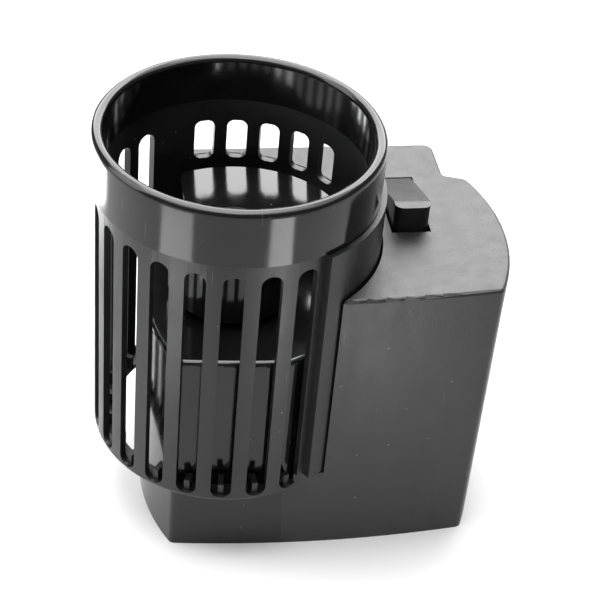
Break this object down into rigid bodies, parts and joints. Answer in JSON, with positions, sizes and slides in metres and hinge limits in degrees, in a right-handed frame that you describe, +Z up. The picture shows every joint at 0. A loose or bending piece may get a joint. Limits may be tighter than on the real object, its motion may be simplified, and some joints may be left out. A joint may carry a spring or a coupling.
{
  "type": "wave maker pump",
  "caption": "Compact aquarium wave maker pump: a round slotted strainer with a wide outlet ring round a propeller, on a motor base with a holder block and a release catch.",
  "frame": {"origin": "on the propeller's axis, in the plane of the flat base that the pump stands on", "axes": "+Z up the propeller's axis, out of the outlet; +X from the axis towards the holder block; +Y towards the flat back that lies along the glass"},
  "size_m": [0.0637, 0.0444, 0.0685],
  "materials": {
    "housing_plastic": "satin moulded black, lightly scuffed",
    "ring_plastic": "polished moulded black",
    "cage_plastic": "satin moulded black",
    "catch_plastic": "satin moulded black",
    "propeller_plastic": "polished moulded black",
    "inner_plastic": "plain moulded dark grey",
    "bearing_plastic": "plain moulded off-white",
    "component_plastic": "plain black",
    "rubber": "soft black",
    "steel": "stainless",
    "ceramic": "ground white",
    "laminations": "stacked, varnished",
    "copper": "enamelled wire",
    "resin": "poured black",
    "board": "green solder mask",
    "magnet_metal": "nickel plated",
    "ferrite": "pressed ferrite"
  },
  "bodies": {
    "root": {"motor_housing": "housing_plastic", "front_cover": "housing_plastic", "base_cover": "housing_plastic", "base_gasket": "rubber", "base_screws": "steel", "rotor_well": "inner_plastic", "well_gasket": "rubber", "shaft_cup": "rubber", "ceramic_shaft": "ceramic", "stator_core": "laminations", "coil_bobbins": "inner_plastic", "coil_windings": "copper", "potting_resin": "resin", "thermal_cutout": "component_plastic", "hall_sensor": "component_plastic", "driver_board": "board", "board_holder": "inner_plastic", "board_parts": "component_plastic", "coil_leads": "component_plastic", "holder_magnets": "magnet_metal", "magnet_tray": "inner_plastic", "magnet_yoke": "steel", "cable_gland": "rubber", "catch_pin": "steel", "catch_spring": "steel"},
    "outlet": {"outlet_ring": "ring_plastic", "strainer_cage": "cage_plastic"},
    "catch": {"release_catch": "catch_plastic"},
    "cartridge": {"bearing_cap": "inner_plastic", "front_bush": "bearing_plastic", "cap_seal": "rubber"},
    "rotor": {"propeller": "propeller_plastic", "hub_cap": "propeller_plastic", "rotor_magnet": "ferrite", "magnet_sleeve": "inner_plastic", "drive_tube": "bearing_plastic", "thrust_washers": "bearing_plastic"}
  },
  "joints": [
    {"name": "outlet_lift", "type": "slide", "parent": "root", "child": "outlet", "axis": [0, 0, 1], "range_m": [0, 0.06]},
    {"name": "cartridge_pull", "type": "slide", "parent": "root", "child": "cartridge", "axis": [0, 0, 1], "range_m": [0, 0.045]},
    {"name": "rotor_spin", "type": "hinge", "parent": "cartridge", "child": "rotor", "pos_m": [0, 0, 0.0426], "axis": [0, 0, 1], "continuous": true},
    {"name": "catch_press", "type": "hinge", "parent": "root", "child": "catch", "pos_m": [0.0273, 0.0113, 0.0487], "axis": [1, 0, 0], "range_deg": [0, 5], "stiffness_Nm_per_rad": 0.02, "springref_deg": -5.73, "deforming": ["catch_spring"]}
  ]
}
